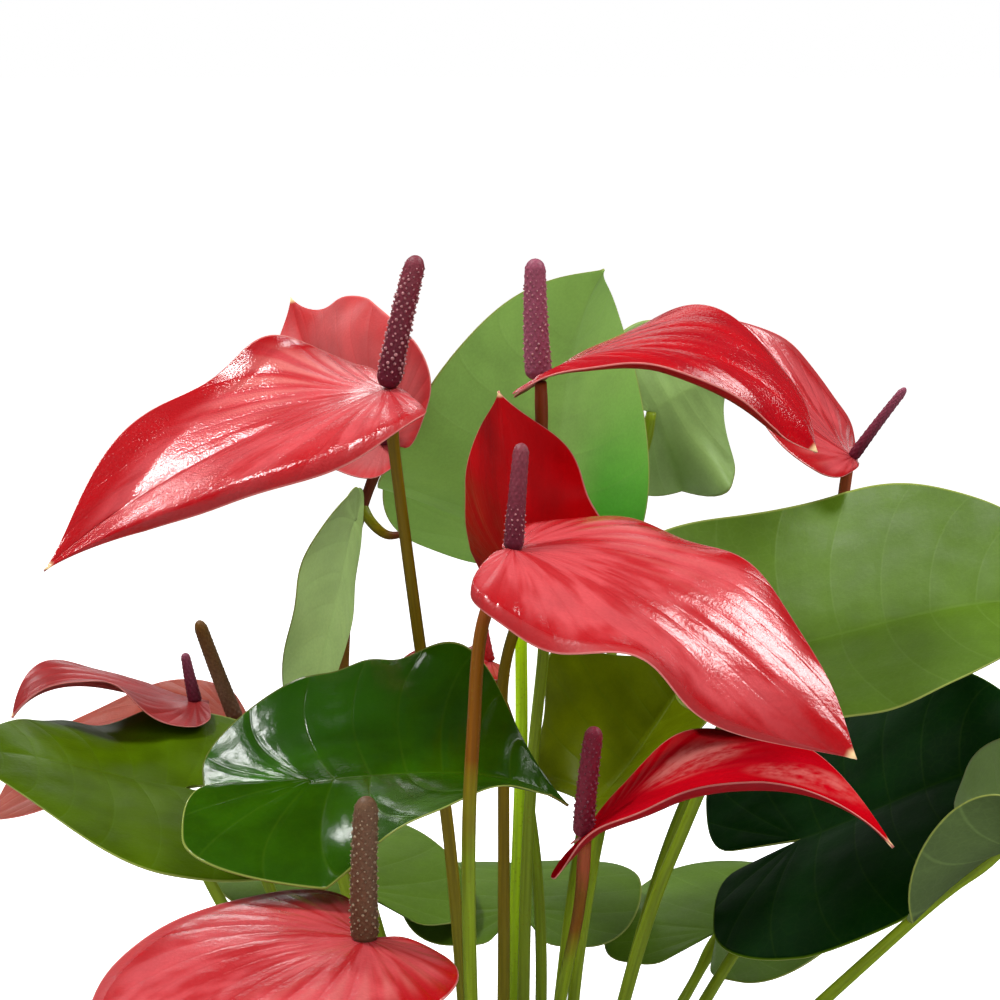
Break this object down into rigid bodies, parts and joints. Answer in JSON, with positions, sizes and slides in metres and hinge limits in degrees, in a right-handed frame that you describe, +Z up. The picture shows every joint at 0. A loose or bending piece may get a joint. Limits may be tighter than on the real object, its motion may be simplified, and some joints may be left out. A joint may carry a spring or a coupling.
{
  "type": "potted anthurium",
  "caption": "Potted anthurium with glossy red spathes, plum spadices and heart-shaped leaves on slender stalks, in a plain tapered round pot filled with potting soil.",
  "frame": {"origin": "centre of the pot's flat underside, where it rests", "axes": "+Z up along the pot's axis; -Y towards the viewer of the picture; +X to that viewer's right"},
  "size_m": [0.328, 0.3685, 0.3992],
  "materials": {
    "pot_white": "matt white, plain",
    "soil_brown": "damp bark and peat potting mix",
    "spathe_red": "thick waxy glossy red",
    "spadix_plum": "plum with pale florets",
    "peduncle_brown": "satin red-brown to olive stalk",
    "spathe_pale": "thick waxy salmon red",
    "spadix_olive": "olive brown with pale florets",
    "spadix_brown": "plum brown with cream florets",
    "leaf_bright": "matt bright green",
    "leaf_grey": "matt grey-green",
    "leaf_pale": "pale green, light shining through",
    "leaf_dark": "glossy dark green",
    "leaf_olive": "satin olive green",
    "leaf_green": "satin mid green",
    "leaf_shade": "satin blackish green"
  },
  "bodies": {
    "root": {"pot": "pot_white", "soil": "soil_brown", "spathe_a": "spathe_red", "spadix_a": "spadix_plum", "peduncle_a": "peduncle_brown", "spathe_b": "spathe_red", "spadix_b": "spadix_plum", "peduncle_b": "peduncle_brown", "spathe_c": "spathe_red", "spadix_c": "spadix_plum", "peduncle_c": "peduncle_brown", "spathe_d": "spathe_red", "spadix_d": "spadix_plum", "peduncle_d": "peduncle_brown", "spathe_e": "spathe_red", "spadix_e": "spadix_plum", "peduncle_e": "peduncle_brown", "spathe_f": "spathe_red", "spadix_f": "spadix_plum", "peduncle_f": "peduncle_brown", "spathe_g": "spathe_red", "spadix_g": "spadix_plum", "peduncle_g": "peduncle_brown", "spathe_h": "spathe_pale", "spadix_h": "spadix_olive", "peduncle_h": "peduncle_brown", "spathe_i": "spathe_red", "spadix_i": "spadix_plum", "peduncle_i": "peduncle_brown", "spathe_j": "spathe_red", "spadix_j": "spadix_brown", "peduncle_j": "peduncle_brown", "spathe_k": "spathe_red", "spadix_k": "spadix_plum", "peduncle_k": "peduncle_brown", "leaf_1": "leaf_bright", "leaf_2": "leaf_grey", "leaf_3": "leaf_pale", "leaf_4": "leaf_dark", "leaf_5": "leaf_olive", "leaf_6": "leaf_olive", "leaf_7": "leaf_green", "leaf_8": "leaf_shade", "leaf_9": "leaf_grey", "leaf_10": "leaf_green", "leaf_11": "leaf_green", "leaf_12": "leaf_green", "leaf_13": "leaf_green", "leaf_14": "leaf_green"}
  },
  "joints": []
}
